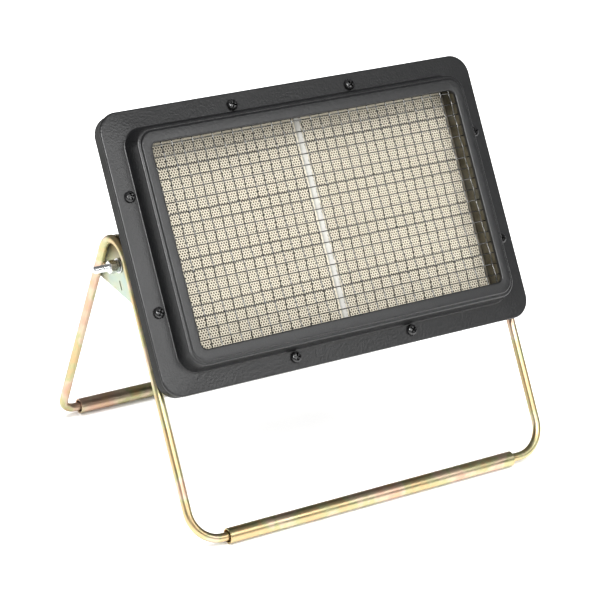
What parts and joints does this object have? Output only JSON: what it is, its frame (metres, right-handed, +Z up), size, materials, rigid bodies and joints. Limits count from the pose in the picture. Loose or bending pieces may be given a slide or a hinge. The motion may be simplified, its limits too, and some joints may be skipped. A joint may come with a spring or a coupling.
{
  "type": "portable infrared gas heater",
  "caption": "Tilting infrared gas heater: twin ceramic plaques behind a wire guard in a black steel head, carried by side bolts on a bent-rod stand.",
  "frame": {"origin": "on the floor, midway between the front and rear floor tubes and between the two sides", "axes": "+X along the heater to its right side as seen from the front, -Y to the front where the face looks, +Z up"},
  "size_m": [0.3142, 0.1962, 0.246],
  "materials": {
    "yellow_zinc": "yellow passivated zinc plate, glossy, with faint rainbow tints",
    "black_enamel": "semi-matte fine-textured heat-resistant black enamel",
    "guard_wire": "crimped bright steel wire",
    "burner_steel": "heat-tinted mild steel sheet",
    "ceramic": null,
    "cement": null,
    "brass": "turned brass",
    "black_steel": "black oxide screws",
    "bright_zinc": "bright zinc plated steel"
  },
  "bodies": {
    "stand": {"side_rod_left": "yellow_zinc", "side_rod_right": "yellow_zinc", "gusset_left": "yellow_zinc", "gusset_right": "yellow_zinc", "front_tube": "yellow_zinc", "rear_tube": "yellow_zinc"},
    "head": {"baffle_plate": "burner_steel", "burner_box": "burner_steel", "burner_screw_1": "black_steel", "burner_screw_2": "black_steel", "burner_screw_3": "black_steel", "burner_screw_4": "black_steel", "burner_standoff_1": "bright_zinc", "burner_standoff_2": "bright_zinc", "burner_standoff_3": "bright_zinc", "burner_standoff_4": "bright_zinc", "centre_seam": "cement", "flange_nut_1": "bright_zinc", "flange_nut_2": "bright_zinc", "flange_nut_3": "bright_zinc", "flange_nut_4": "bright_zinc", "flange_nut_5": "bright_zinc", "flange_nut_6": "bright_zinc", "flange_nut_7": "bright_zinc", "flange_nut_8": "bright_zinc", "flange_screw_1": "black_steel", "flange_screw_2": "black_steel", "flange_screw_3": "black_steel", "flange_screw_4": "black_steel", "flange_screw_5": "black_steel", "flange_screw_6": "black_steel", "flange_screw_7": "black_steel", "flange_screw_8": "black_steel", "front_frame": "black_enamel", "gas_inlet_barb": "brass", "injector_nozzle": "brass", "injector_yoke": "bright_zinc", "inlet_nut": "brass", "mixer_tube": "bright_zinc", "pivot_bolt_left": "bright_zinc", "pivot_bolt_right": "bright_zinc", "pivot_nut_left": "bright_zinc", "pivot_nut_right": "bright_zinc", "pivot_spacer_left": "bright_zinc", "pivot_spacer_right": "bright_zinc", "pivot_spring_washer_left": "bright_zinc", "pivot_spring_washer_right": "bright_zinc", "pivot_washer_left": "bright_zinc", "pivot_washer_right": "bright_zinc", "plaque_gasket": "cement", "plaque_left": "ceramic", "plaque_right": "ceramic", "rear_housing": "black_enamel", "wire_guard": "guard_wire", "yoke_screw_1": "black_steel", "yoke_screw_2": "black_steel"}
  },
  "joints": [
    {"name": "head_tilt", "type": "hinge", "parent": "stand", "child": "head", "pos_m": [0, 0.03007, 0.14852], "axis": [-1, 0, 0], "range_deg": [-2.5, 125]}
  ]
}
